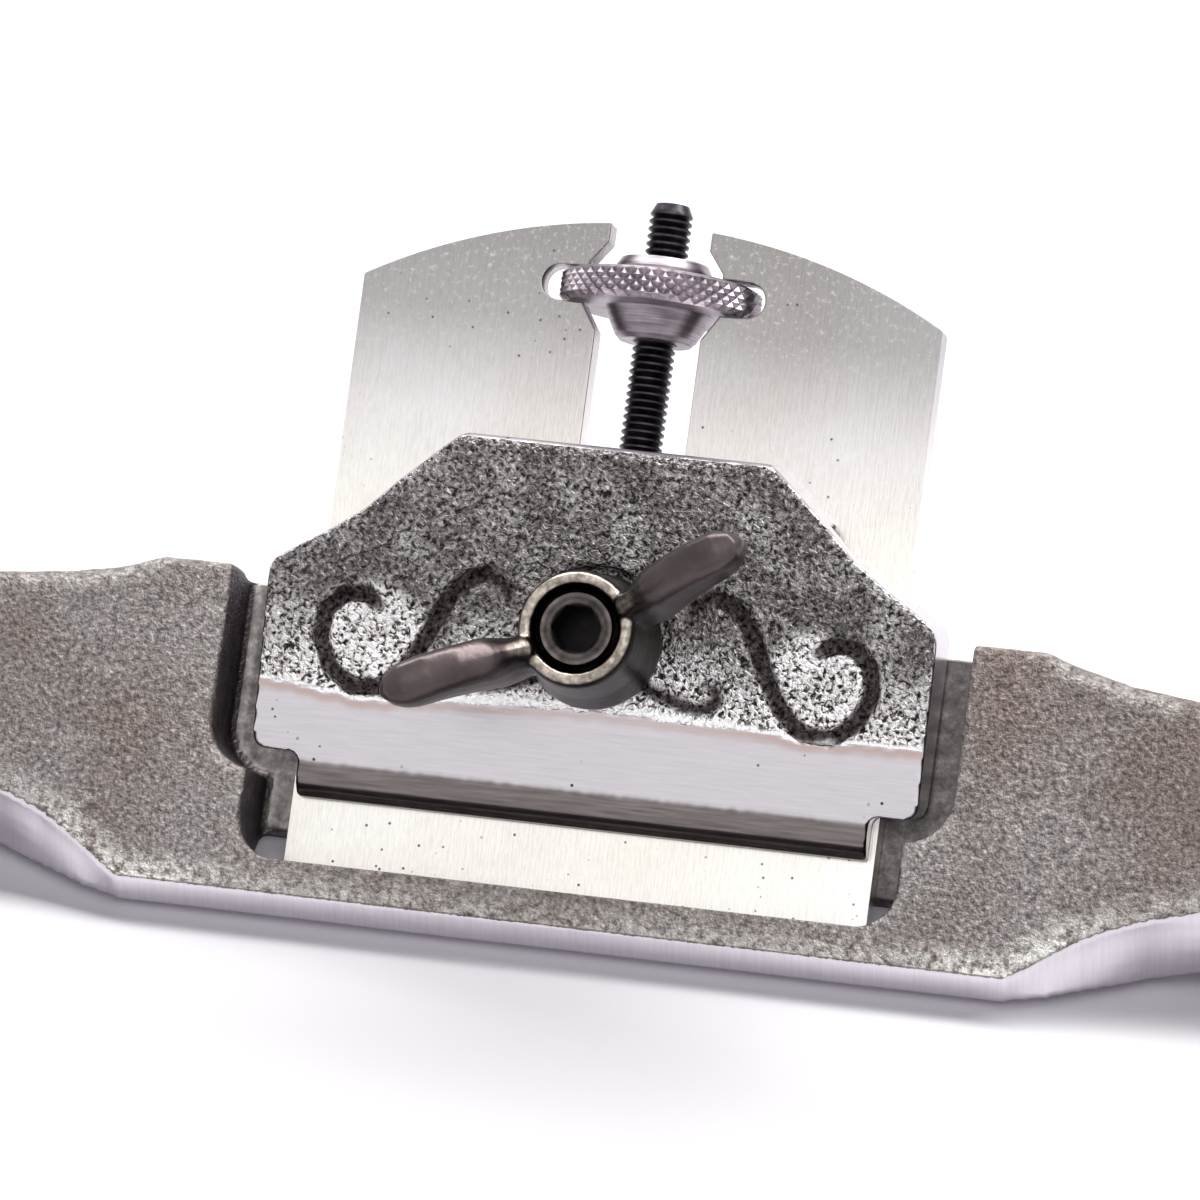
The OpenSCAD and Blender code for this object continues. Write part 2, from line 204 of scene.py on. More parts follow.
def eased(work, width, angle, keep):
    """Joins flat facets and eases the sharp edges that are kept."""
    bmesh.ops.dissolve_limit(work, angle_limit=math.radians(1.0), verts=work.verts, edges=work.edges)
    edges = [e for e in work.edges if len(e.link_faces) == 2
             and e.calc_face_angle(0) > math.radians(angle) and keep(e)]
    bmesh.ops.bevel(work, geom=edges, offset=width, offset_type="OFFSET", segments=2,
                    profile=0.5, affect="EDGES", clamp_overlap=True, material=-1)


def cast_skin(work, spacing, rounds):
    """One even skin over a solid, its corners softened as a casting's are."""
    mesh = bpy.data.meshes.new("skin")
    work.to_mesh(mesh)
    work.free()
    holder = bpy.data.objects.new("skin", mesh)
    bpy.context.scene.collection.objects.link(holder)
    skin = holder.modifiers.new("Skin", "REMESH")
    skin.mode = "VOXEL"
    skin.voxel_size = spacing
    soften = holder.modifiers.new("Soften", "SMOOTH")
    soften.factor = 0.5
    soften.iterations = rounds
    shown = holder.evaluated_get(bpy.context.evaluated_depsgraph_get())
    result = bmesh.new()
    result.from_mesh(shown.to_mesh())
    shown.to_mesh_clear()
    bpy.data.objects.remove(holder)
    bpy.data.meshes.remove(mesh)
    result.normal_update()
    return result


def bend_of(vert):
    """How far a vertex stands out of its neighbours, in millimetres: positive on a convex edge."""
    middle = Vector()
    for edge in vert.link_edges:
        middle += edge.other_vert(vert).co
    return (vert.co - middle / len(vert.link_edges)).dot(vert.normal)


def near(points, reach):
    """A function that reads 1 at the points and fades to 0 at reach."""
    tree = KDTree(len(points))
    for i, point in enumerate(points):
        tree.insert(point, i)
    tree.balance()

    def read(co):
        found = tree.find(co)
        return 0.0 if found[0] is None else max(0.0, 1.0 - found[2] / reach)
    return read


def painted(work, names):
    """Named layers that hold one number for each vertex, for the material to read."""
    return [work.verts.layers.float.new(name) for name in names]


def cast_and_ground_iron(colours):
    """Bare sand-cast iron: matt grey grains with darker pits, and a toe ground to a silky pale band."""
    material, tree, at = bed_material("cast_and_ground_iron")
    ground, floor, wear, wall, shade = (
        add(tree, "ShaderNodeAttribute", {"attribute_name": name}).outputs["Fac"]
        for name in BODY_LAYERS)
    # Sand grains of 0.25 mm, so one light and one dark spot in 0.5 mm
    sand = add(tree, "ShaderNodeTexNoise", {"Scale": 1 / 0.5, "Detail": 4.0, "Roughness": 0.68}, {"Vector": at})
    fine = add(tree, "ShaderNodeTexNoise", {"Scale": 1 / 0.3, "Detail": 1.0}, {"Vector": at})
    crumb = add(tree, "ShaderNodeValToRGB", {"stops": (
        (0.36, tone(colours.casting, 0.40)), (0.47, tone(colours.casting, 0.78)),
        (0.56, tone(colours.casting, 1.02)), (0.68, tone(colours.casting, 1.75)))}, {"Fac": sand})
    # Patches of 6 to 7 mm where the skin is browner
    cloud = add(tree, "ShaderNodeTexNoise", {"Scale": 1 / 13.0, "Detail": 2.0}, {"Vector": at})
    tint = add(tree, "ShaderNodeValToRGB", {"stops": (
        (0.35, paint("#e4dad5")), (0.65, paint("#ffffff")))}, {"Fac": cloud})
    cast = add(tree, "ShaderNodeMix", {"data_type": "RGBA", "blend_type": "MULTIPLY", 0: 1.0}, {6: crumb, 7: tint})
    # Crumbs of 0.45 mm along the arris are rubbed bright where the grains stand up
    bright = add(tree, "ShaderNodeValToRGB", {"stops": ((0.42, 0.0), (0.56, 1.0))},
                 {"Fac": add(tree, "ShaderNodeTexNoise", {"Scale": 1 / 0.9, "Detail": 4.0, "Roughness": 0.75},
                             {"Vector": at})})
    rubbed = add(tree, "ShaderNodeMath", {"operation": "MULTIPLY"}, {0: wear, 1: bright})
    cast = add(tree, "ShaderNodeMix", {"data_type": "RGBA", 7: paint("#f4f3ee")}, {0: rubbed, 6: cast})
    # Grinding marks run down the toe, 0.25 mm apart
    across = add(tree, "ShaderNodeMapping", {"Scale": (4.0, 0.25, 0.25)}, {"Vector": at})
    lines = add(tree, "ShaderNodeTexNoise", {"Scale": 1.0, "Detail": 2.0}, {"Vector": across})
    polish = add(tree, "ShaderNodeValToRGB", {"stops": (
        (0.3, tone(colours.polish, 1.2)), (0.7, tone(colours.polish, 1.3)))}, {"Fac": lines})
    # The milled bed and the pocket walls are mottled in patches of 0.8 mm, and the pocket walls are painted dark as
    # shade
    milled = add(tree, "ShaderNodeValToRGB", {"stops": (
        (0.32, tone(colours.casting, 0.45)), (0.52, tone(colours.casting, 1.0)), (0.7, tone(colours.casting, 2.0)))},
        {"Fac": add(tree, "ShaderNodeTexNoise", {"Scale": 1 / 1.5, "Detail": 6.0, "Roughness": 0.75}, {"Vector": at})})
    dark = add(tree, "ShaderNodeValToRGB", {"stops": (
        (0.3, paint("#3b3539")), (0.7, paint("#5d565a")))},
        {"Fac": add(tree, "ShaderNodeTexNoise", {"Scale": 1 / 1.6, "Detail": 3.0}, {"Vector": at})})
    # The ground edge is ragged by one grain and has a thin brown rim on the cast side
    ragged = add(tree, "ShaderNodeMath", {"operation": "MULTIPLY_ADD", 1: 0.9}, {0: sand, 2: ground})
    is_ground = add(tree, "ShaderNodeValToRGB", {"stops": ((0.87, 0.0), (0.99, 1.0))}, {"Fac": ragged})
    rust = add(tree, "ShaderNodeValToRGB", {"stops": ((0.62, 0.0), (0.84, 0.8), (0.90, 0.0))}, {"Fac": ragged})
    cast = add(tree, "ShaderNodeMix", {"data_type": "RGBA", 7: paint("#7a675a")}, {0: rust, 6: cast})
    colour = add(tree, "ShaderNodeMix", {"data_type": "RGBA"}, {0: is_ground, 6: cast, 7: polish})
    # Painted shade on the pocket walls
    colour = add(tree, "ShaderNodeMix", {"data_type": "RGBA"}, {0: wall, 6: colour, 7: dark})
    colour = add(tree, "ShaderNodeMix", {"data_type": "RGBA"}, {0: floor, 6: colour, 7: milled})
    # Painted shade: below 0.5 the shade layer darkens the colour
    painted_shade = add(tree, "ShaderNodeValToRGB", {"stops": ((0.0, 0.25), (0.5, 1.0))}, {"Fac": shade})
    colour = add(tree, "ShaderNodeMix", {"data_type": "RGBA", "blend_type": "MULTIPLY", 0: 1.0}, {6: colour, 7: painted_shade})
    rough = add(tree, "ShaderNodeMix", {"data_type": "FLOAT", 2: 0.5, 3: 0.3}, {0: is_ground})
    rough = add(tree, "ShaderNodeMix", {"data_type": "FLOAT", 3: 0.38}, {0: floor, 2: rough})
    keep = add(tree, "ShaderNodeMath", {"operation": "ADD", "use_clamp": True}, {0: is_ground, 1: floor})
    relief = add(tree, "ShaderNodeMix", {"data_type": "FLOAT", 3: 0.5}, {
        0: keep, 2: add(tree, "ShaderNodeMath", {"operation": "MULTIPLY_ADD", 1: 0.4}, {0: fine, 2: sand})})
    normal = add(tree, "ShaderNodeBump", {"Distance": 0.36 * MM}, {"Height": relief})
    normal = add(tree, "ShaderNodeBump", {"Distance": 0.003 * MM}, {"Height": lines, "Normal": normal})
    shader = add(tree, "ShaderNodeBsdfPrincipled", {"Metallic": 1.0},
                 {"Base Color": colour, "Roughness": rough, "Normal": normal})
    add(tree, "ShaderNodeOutputMaterial", links={"Surface": shader})
    return material


def scrolled_cap_iron(colours):
    """Coarse casting with black pits and rubbed bright grains, a band polished like pewter, grooves and lip darkened
    with painted shade, and a painted highlight along the band's top edge.
    """
    material, tree, at = bed_material("scrolled_cap_iron")
    band, groove, rubbed, painted_crest_highlight, warm, lip, pitted = (
        add(tree, "ShaderNodeAttribute", {"attribute_name": name}).outputs["Fac"]
        for name in CAP_LAYERS)
    # Grains of 0.23 mm, so one light and one dark spot in 0.46 mm
    sand = add(tree, "ShaderNodeTexNoise", {"Scale": 1 / 0.46, "Detail": 2.0, "Roughness": 0.6, "Distortion": 0.5},
               {"Vector": at})
    low = add(tree, "ShaderNodeValToRGB", {"stops": (
        (0.33, paint("#2a2625")), (0.45, tone(colours.cap, 0.46)),
        (0.57, tone(colours.cap, 0.86)), (0.70, tone(colours.cap, 2.0)))}, {"Fac": sand})
    high = add(tree, "ShaderNodeValToRGB", {"stops": (
        (0.35, paint("#2b2523")), (0.42, tone(colours.cap, 0.75)),
        (0.47, tone(colours.cap, 3.0)), (0.55, paint("#ffffff")))}, {"Fac": sand})
    cast = add(tree, "ShaderNodeMix", {"data_type": "RGBA"}, {0: rubbed, 6: low, 7: high})
    # Painted shade darkens the scroll grooves
    painted_groove_shade = add(tree, "ShaderNodeValToRGB", {"stops": (
        (0.35, paint("#191516")), (0.68, paint("#6c6061")))}, {"Fac": sand})
    cast = add(tree, "ShaderNodeMix", {"data_type": "RGBA"}, {0: groove, 6: cast, 7: painted_groove_shade})
    # A painted highlight runs white along the top edge of the polished band
    cast = add(tree, "ShaderNodeMix", {"data_type": "RGBA", 7: paint("#ffffff")}, {0: painted_crest_highlight, 6: cast})
    # Polishing marks run along the band, 0.25 mm apart
    along = add(tree, "ShaderNodeMapping", {"Scale": (0.25, 4.0, 1.0)}, {"Vector": at})
    lines = add(tree, "ShaderNodeTexNoise", {"Scale": 1.0, "Detail": 3.0}, {"Vector": along})
    polish = add(tree, "ShaderNodeValToRGB", {"stops": (
        (0.3, tone(colours.polish, 0.99)), (0.7, tone(colours.polish, 1.09)))}, {"Fac": lines})
    polish = add(tree, "ShaderNodeMix", {"data_type": "RGBA", 7: paint("#b89c90")}, {0: warm, 6: polish})
    # Pits of 0.2 to 0.35 mm that the polishing left, in clusters
    pits = add(tree, "ShaderNodeTexVoronoi", {"Scale": 1 / 1.3}, {"Vector": at})
    pit = add(tree, "ShaderNodeValToRGB", {"stops": ((0.08, 1.0), (0.14, 0.0))}, {"Fac": pits})
    some = add(tree, "ShaderNodeValToRGB", {"stops": ((0.55, 0.0), (0.62, 1.0))},
               {"Fac": add(tree, "ShaderNodeTexNoise", {"Scale": 1 / 5.0, "Detail": 1.0}, {"Vector": at})})
    some = add(tree, "ShaderNodeMath", {"operation": "MAXIMUM"}, {0: some, 1: pitted})
    pit = add(tree, "ShaderNodeMath", {"operation": "MULTIPLY"}, {0: pit, 1: some})
    polish = add(tree, "ShaderNodeMix", {"data_type": "RGBA", 7: paint("#37322f")}, {0: pit, 6: polish})
    # Painted shade darkens the rolled lip
    painted_lip_shade = add(tree, "ShaderNodeValToRGB", {"stops": (
        (0.3, paint("#6a6362")), (0.7, paint("#877f7e")))}, {"Fac": lines})
    polish = add(tree, "ShaderNodeMix", {"data_type": "RGBA"}, {0: lip, 6: polish, 7: painted_lip_shade})
    ragged = add(tree, "ShaderNodeMath", {"operation": "MULTIPLY_ADD", 1: 0.8}, {0: sand, 2: band})
    is_band = add(tree, "ShaderNodeValToRGB", {"stops": ((0.85, 0.0), (0.95, 1.0))}, {"Fac": ragged})
    colour = add(tree, "ShaderNodeMix", {"data_type": "RGBA"}, {0: is_band, 6: cast, 7: polish})
    rough = add(tree, "ShaderNodeMix", {"data_type": "FLOAT", 2: 0.36, 3: 0.6}, {0: groove})
    rough = add(tree, "ShaderNodeMix", {"data_type": "FLOAT", 3: 0.24}, {0: is_band, 2: rough})
    flat = add(tree, "ShaderNodeMath", {"operation": "MULTIPLY_ADD", "use_clamp": True, 1: 0.75},
               {0: painted_crest_highlight, 2: is_band})
    relief = add(tree, "ShaderNodeMix", {"data_type": "FLOAT", 3: 0.5}, {0: flat, 2: sand})
    normal = add(tree, "ShaderNodeBump", {"Distance": 0.55 * MM}, {"Height": relief})
    normal = add(tree, "ShaderNodeBump", {"Distance": 0.004 * MM}, {"Height": lines, "Normal": normal})
    shader = add(tree, "ShaderNodeBsdfPrincipled", {"Metallic": 1.0},
                 {"Base Color": colour, "Roughness": rough, "Normal": normal})
    add(tree, "ShaderNodeOutputMaterial", links={"Surface": shader})
    return material


def ground_tool_steel(colours):
    """Blade steel ground lengthwise, with a painted reflection that is bright near the edge and greyer towards the top,
    and specks of old rust.
    """
    material, tree, at = bed_material("ground_tool_steel")
    # Grinding lines 0.17 mm apart that run up the blade, and short scratches 1.4 mm long among them
    along = add(tree, "ShaderNodeMapping", {"Scale": (6.0, 0.12, 1.0)}, {"Vector": at})
    lines = add(tree, "ShaderNodeTexNoise", {"Scale": 1.0, "Detail": 4.0, "Roughness": 0.6}, {"Vector": along})
    cloud = add(tree, "ShaderNodeTexNoise", {"Scale": 1 / 18.0, "Detail": 3.0}, {"Vector": at})
    short = add(tree, "ShaderNodeTexNoise", {"Scale": 1.0, "Detail": 3.0, "Roughness": 0.7}, {
        "Vector": add(tree, "ShaderNodeMapping", {"Scale": (4.5, 0.7, 1.0)}, {"Vector": at})})
    streak = add(tree, "ShaderNodeMix", {"data_type": "FLOAT", 0: 0.6}, {2: lines, 3: short})
    streak = add(tree, "ShaderNodeValToRGB", {"stops": ((0.33, 0.85), (0.56, 1.0))}, {"Fac": streak})
    up = add(tree, "ShaderNodeMapRange", {1: 0.0, 2: 62.0},
             {0: add(tree, "ShaderNodeSeparateXYZ", links={0: at}).outputs["Y"]})
    # Painted reflection: bright steel up to the middle of the blade, greyer towards the top
    colour = add(tree, "ShaderNodeValToRGB", {"stops": (
        (0.02, paint("#fffdfa")), (0.5, paint("#fffdf8")), (0.66, tone(colours.steel, 1.2)),
        (0.82, tone(colours.steel, 0.64)), (0.98, tone(colours.steel, 0.5)))}, {"Fac": up})
    colour = add(tree, "ShaderNodeMix", {"data_type": "RGBA", "blend_type": "MULTIPLY", 0: 1.0}, {6: colour, 7: streak})
    patchy = add(tree, "ShaderNodeValToRGB", {"stops": (
        (0.3, paint("#f6f2ec")), (0.7, paint("#ffffff")))}, {"Fac": cloud})
    colour = add(tree, "ShaderNodeMix", {"data_type": "RGBA", "blend_type": "MULTIPLY", 0: 1.0}, {6: colour, 7: patchy})
    # Near the top the hand has left a grey bloom with pale blotches of 0.3 mm
    bloom = add(tree, "ShaderNodeTexNoise", {"Scale": 1 / 0.6, "Detail": 4.0, "Roughness": 0.7}, {"Vector": at})
    bloom = add(tree, "ShaderNodeMath", {"operation": "MULTIPLY"}, {
        0: add(tree, "ShaderNodeValToRGB", {"stops": ((0.55, 0.0), (0.68, 0.5))}, {"Fac": bloom}),
        1: add(tree, "ShaderNodeValToRGB", {"stops": ((0.66, 0.0), (0.9, 1.0))}, {"Fac": up})})
    colour = add(tree, "ShaderNodeMix", {"data_type": "RGBA", 7: paint("#e4e2e0")}, {0: bloom, 6: colour})
    # Rust specks of 0.15 to 0.3 mm, in clusters on the face and more by the edge
    cells = add(tree, "ShaderNodeTexVoronoi", {"Scale": 1 / 1.3}, {"Vector": at})
    speck = add(tree, "ShaderNodeValToRGB", {"stops": ((0.06, 1.0), (0.13, 0.0))}, {"Fac": cells})
    by_edge = add(tree, "ShaderNodeMapRange", {1: 0.02, 2: 0.12, 3: 0.16, 4: 0.0}, {0: up})
    some = add(tree, "ShaderNodeValToRGB", {"stops": ((0.55, 0.0), (0.6, 1.0))}, {
        "Fac": add(tree, "ShaderNodeMath", {"operation": "ADD"}, {
            0: add(tree, "ShaderNodeTexNoise", {"Scale": 1 / 8.0, "Detail": 2.0}, {"Vector": at}), 1: by_edge})})
    speck = add(tree, "ShaderNodeMath", {"operation": "MULTIPLY"}, {0: speck, 1: some})
    colour = add(tree, "ShaderNodeMix", {"data_type": "RGBA", 7: paint("#5b5750")}, {0: speck, 6: colour})
    rough = add(tree, "ShaderNodeMapRange", {3: 0.22, 4: 0.32}, {0: cloud})
    normal = add(tree, "ShaderNodeBump", {"Distance": 0.012 * MM}, {"Height": lines})
    shader = add(tree, "ShaderNodeBsdfPrincipled", {"Metallic": 1.0, "Anisotropic": 0.3},
                 {"Base Color": colour, "Roughness": rough, "Normal": normal})
    add(tree, "ShaderNodeOutputMaterial", links={"Surface": shader})
    return material


def cast_nut_iron(colours):
    """Dark satin malleable iron, with brown-grey painted shade on its downward faces and round the barrel, and edges
    that fingers wear bright, partly as a painted highlight.
    """
    material, tree, at = bed_material("cast_nut_iron")
    ring, wear_and_highlight, painted_nut_shade = (add(tree, "ShaderNodeAttribute", {"attribute_name": name}).outputs["Fac"]
                        for name in NUT_LAYERS)
    cloud = add(tree, "ShaderNodeTexNoise", {"Scale": 1 / 4.0, "Detail": 3.0}, {"Vector": at})
    # Speckle of 0.3 mm
    fine = add(tree, "ShaderNodeTexNoise", {"Scale": 1 / 0.6, "Detail": 2.0}, {"Vector": at})
    colour = add(tree, "ShaderNodeValToRGB", {"stops": (
        (0.3, tone(colours.nut, 0.75)), (0.7, tone(colours.nut, 1.25)))}, {"Fac": cloud})
    # Convex edges are lighter: wear by fingers and a painted highlight
    colour = add(tree, "ShaderNodeMix", {"data_type": "RGBA", 7: tone(colours.nut, 2.2)}, {0: wear_and_highlight, 6: colour})
    warm = add(tree, "ShaderNodeValToRGB", {"stops": (
        (0.3, paint("#7f776e")), (0.5, paint("#a69c91")), (0.7, paint("#cfc5b9")))},
        {"Fac": fine})
    colour = add(tree, "ShaderNodeMix", {"data_type": "RGBA"}, {0: ring, 6: colour, 7: warm})
    # Painted shade, dark brown-grey, on downward faces and on the flanks round the barrel
    colour = add(tree, "ShaderNodeMix", {"data_type": "RGBA", 7: paint("#2a2424")}, {0: painted_nut_shade, 6: colour})
    normal = add(tree, "ShaderNodeBump", {"Distance": 0.03 * MM}, {"Height": fine})
    shader = add(tree, "ShaderNodeBsdfPrincipled", {"Metallic": 1.0, "Roughness": 0.34},
                 {"Base Color": colour, "Normal": normal})
    add(tree, "ShaderNodeOutputMaterial", links={"Surface": shader})
    return material


def turned_steel(colours):
    """Turned and diamond-knurled steel with a purple-grey cast and fine turning rings."""
    material, tree, at = bed_material("turned_steel")
    # Turning rings 0.2 mm apart
    rings = add(tree, "ShaderNodeTexNoise", {"Scale": 1.0, "Detail": 3.0},
                {"Vector": add(tree, "ShaderNodeMapping", {"Scale": (0.2, 5.0, 0.2)}, {"Vector": at})})
    cloud = add(tree, "ShaderNodeTexNoise", {"Scale": 1 / 2.4, "Detail": 3.0}, {"Vector": at})
    shade = add(tree, "ShaderNodeMix", {"data_type": "FLOAT", 0: 0.6}, {2: cloud, 3: rings})
    colour = add(tree, "ShaderNodeValToRGB", {"stops": (
        (0.34, tone(colours.wheel, 0.55)), (0.5, tone(colours.wheel, 1.0)), (0.66, tone(colours.wheel, 1.5)))},
        {"Fac": shade})
    normal = add(tree, "ShaderNodeBump", {"Distance": 0.02 * MM}, {"Height": rings})
    shader = add(tree, "ShaderNodeBsdfPrincipled", {"Metallic": 1.0, "Roughness": 0.4},
                 {"Base Color": colour, "Normal": normal})
    add(tree, "ShaderNodeOutputMaterial", links={"Surface": shader})
    return material


def black_oxide_steel(colours):
    """Blackened screw steel: nearly black, with grey glints on its crests."""
    material, tree, at = bed_material("black_oxide_steel")
    cloud = add(tree, "ShaderNodeTexNoise", {"Scale": 1 / 1.3, "Detail": 3.0}, {"Vector": at})
    colour = add(tree, "ShaderNodeValToRGB", {"stops": (
        (0.3, tone(colours.oxide, 1.0)), (0.7, tone(colours.oxide, 3.2)))}, {"Fac": cloud})
    rough = add(tree, "ShaderNodeMapRange", {1: 0.3, 2: 0.7, 3: 0.28, 4: 0.42}, {0: cloud})
    shader = add(tree, "ShaderNodeBsdfPrincipled", {"Metallic": 1.0}, {"Base Color": colour, "Roughness": rough})
    add(tree, "ShaderNodeOutputMaterial", links={"Surface": shader})
    return material


def dark_screw_steel():
    """Set-screw steel: dark thread, painted highlights on the rim and a socket painted near black as shade."""
    material, tree, at = bed_material("dark_screw_steel")
    socket = add(tree, "ShaderNodeAttribute", {"attribute_name": "socket"}).outputs["Fac"]
    cloud = add(tree, "ShaderNodeTexNoise", {"Scale": 1 / 1.4, "Detail": 3.0}, {"Vector": at})
    colour = add(tree, "ShaderNodeValToRGB", {"stops": (
        (0.3, paint("#4d4745")), (0.7, paint("#8c8481")))}, {"Fac": cloud})
    # Rings on the end face, by millimetres from the axis: painted shade by the socket and painted highlights at the rim
    from_axis = add(tree, "ShaderNodeVectorMath", {"operation": "LENGTH"}, {
        0: add(tree, "ShaderNodeMapping", {"Location": (0, -CAP_STUD_S, 0), "Scale": (1, 1, 0)}, {"Vector": at})})
    rings = add(tree, "ShaderNodeValToRGB", {"stops": (
        (0.22, 0.05), (0.245, 0.5), (0.28, 0.35), (0.31, 0.9), (0.335, 0.45), (0.36, 2.0), (0.40, 1.3))},
        {"Fac": add(tree, "ShaderNodeMath", {"operation": "DIVIDE", 1: 10.0}, {0: from_axis.outputs["Value"]})})
    colour = add(tree, "ShaderNodeMix", {"data_type": "RGBA", "blend_type": "MULTIPLY", 0: 1.0}, {6: colour, 7: rings})
    # The socket is painted near black as shade
    colour = add(tree, "ShaderNodeMix", {"data_type": "RGBA", 7: paint("#1c1a1b")}, {0: socket, 6: colour})
    rough = add(tree, "ShaderNodeMapRange", {1: 0.3, 2: 0.7, 3: 0.25, 4: 0.4}, {0: cloud})
    shader = add(tree, "ShaderNodeBsdfPrincipled", {"Metallic": 1.0}, {"Base Color": colour, "Roughness": rough})
    add(tree, "ShaderNodeOutputMaterial", links={"Surface": shader})
    return material


class SpokeshaveSizes(bpy.types.PropertyGroup):
    body_skin: FloatProperty(
        name="Body skin", description="Mesh spacing of the body casting",
        default=0.46 * MM, min=0.3 * MM, max=1.0 * MM, **LENGTH)
    cap_skin: FloatProperty(
        name="Cap skin", description="Mesh spacing of the lever cap",
        default=0.28 * MM, min=0.2 * MM, max=0.6 * MM, **LENGTH)
    nut_skin: FloatProperty(
        name="Nut skin", description="Mesh spacing of the wing nut",
        default=0.22 * MM, min=0.15 * MM, max=0.5 * MM, **LENGTH)
    sand: FloatProperty(
        name="Sand relief", description="Height of the cast surface's lumps",
        default=0.08 * MM, min=0.0, max=0.3 * MM, **LENGTH)
    groove_w: FloatProperty(
        name="Groove width", description="Width of the scroll grooves",
        default=1.15 * MM, min=0.8 * MM, max=2.0 * MM, **LENGTH)
    blade_ease: FloatProperty(
        name="Blade edges", description="Width of the eased blade edges",
        default=0.18 * MM, min=0.05 * MM, max=0.4 * MM, **LENGTH)


class SpokeshaveColours(bpy.types.PropertyGroup):
    casting: FloatVectorProperty(
        name="Casting", description="Bare sand-cast iron of the body",
        default=linear("#908a88"), **COLOUR)
    cap: FloatVectorProperty(
        name="Cap casting", description="Coarse cast iron of the lever cap",
        default=linear("#857f7e"), **COLOUR)
    polish: FloatVectorProperty(
        name="Polished iron", description="Ground toe and polished band",
        default=linear("#cdc8ce"), **COLOUR)
    steel: FloatVectorProperty(
        name="Blade steel", description="Ground face of the blade",
        default=linear("#d6d3d4"), **COLOUR)
    nut: FloatVectorProperty(
        name="Wing nut", description="Dark satin casting of the wing nut",
        default=linear("#564d4d"), **COLOUR)
    wheel: FloatVectorProperty(
        name="Adjuster wheel", description="Turned and knurled steel",
        default=linear("#978e95"), **COLOUR)
    oxide: FloatVectorProperty(
        name="Black oxide", description="Blackened steel of the adjuster stud",
        default=linear("#2c292d"), **COLOUR)
    floor: FloatVectorProperty(
        name="Floor", description="Colour of the studio floor",
        default=linear("#fbfafc"), **COLOUR)
    shade: FloatVectorProperty(
        name="Shade", description="Tint of the light that fills the shadows",
        default=linear("#e3dcec"), **COLOUR)


class SHAVE_OT_body(bpy.types.Operator):
    """The body casting: rough face, ground toe and handles, milled bed"""
    bl_idname = "shave.body"
    bl_label = "Body"

    def execute(self, context):
        sizes = context.scene.shave_sizes
        work = cast_skin(merged_copy("body"), sizes.body_skin / MM, rounds=1)
        ground, floor, wear, wall, shade = painted(work, BODY_LAYERS)
        self.mark(work, ground, floor, wall, shade)
        self.wear_down(work, ground, wear)
        self.roughen(work, sizes.sand / MM, ground, floor, wall)
        work.normal_update()
        place(work, "body_casting", "body", "body", "casting", cast_and_ground_iron(context.scene.shave_colours))
        return {"FINISHED"}

    def mark(self, work, ground, floor, wall, shade):
        """Tells ground, milled and cast surfaces apart by their place and the way they face."""
        front = ROW_TO_BED @ Vector((0, -1, 0))
        down = ROW_TO_BED @ Vector((0, 0, -1))
        for vert in work.verts:
            x, s, n = vert.co
            side = abs(x)
            up = vert.normal.z
            toe, low = vert.normal.dot(front), vert.normal.dot(down)
            inside = side < POCKET_HALF and POCKET_FOOT_S < s < POCKET_TOP_S and n < CHEEK_TOP_N
            on_sole = low > FACING and (s + n) * HALF < 0.5
            by_bed = side < REAR_HALF and s > POCKET_FOOT_S and not on_sole
            bed = inside and abs(n) < 0.35 and up > 0.7
            in_mouth = side < MOUTH_HALF and s > MOUTH_FRONT_S and low < FACING
            to_grind = up < FACING and (toe > 0.35 or on_sole) and not in_mouth
            vert[floor] = float(bed)
            vert[ground] = smooth(0.965, 0.80, up) if (to_grind or toe > 0.72) and not by_bed else 0.0
            if not on_sole:
                vert[ground] *= smooth(0.3, 0.55, toe) * smooth(*GRIND_FADE, side)
            # The pocket walls, which the material paints dark as shade
            walled = (inside and (n > -0.6 or s < THROAT_TOP_S)) or (side < THROAT_HALF and s < THROAT_TOP_S)
            vert[wall] = float(walled and up < 0.6 and n > THROAT_LOW_N and not bed and not to_grind)
            # Painted shade: the sides of the handles are darker, and so is the right half of the bed
            vert[shade] = 0.5 - 0.13 * smooth(39, 50, side) * smooth(0.9, 0.6, up) if x < 0 or not bed else 0.2

    def wear_down(self, work, ground, wear):
        """Rubs the cast face bright beside the ground band, most at the ends of the sole, and a little on corners."""
        band = [vert.co.copy() for vert in work.verts if vert[ground] > 0.5]
        corners = [vert.co.copy() for vert in work.verts if vert.co.z > 2 and bend_of(vert) > 0.035]
        rim, corner = near(band, 3.0), near(corners, 1.2)
        for vert in work.verts:
            side = abs(vert.co.x)
            if vert[ground] < 0.5 and vert.normal.z > 0.5:
                by_sole = 0.45 + 0.55 * smooth(12, 2, abs(side - SOLE_HALF))
                by_sole *= vert.co.y < 2 or side > 40
                on_corner = 0.1 if side < 37 else 0.28
                vert[wear] = max(rim(vert.co) * by_sole, corner(vert.co) * on_corner)

    def roughen(self, work, height, ground, floor, wall):
        """Sinks sand lumps into the cast surface, and a slow wave into all but the milled bed."""
        for vert in work.verts:
            cast = 1 - max(vert[ground], vert[floor], 0.6 * vert[wall])
            co = vert.co
            lump = 0.5 * (noise.noise(co / 1.9) - 1) + 0.5 * (noise.noise(co / 0.9) - 1)
            wave = 0.03 * (noise.noise(co / 11) - 1)
            vert.co = co + vert.normal * (cast * height * lump + (1 - vert[floor]) * wave)


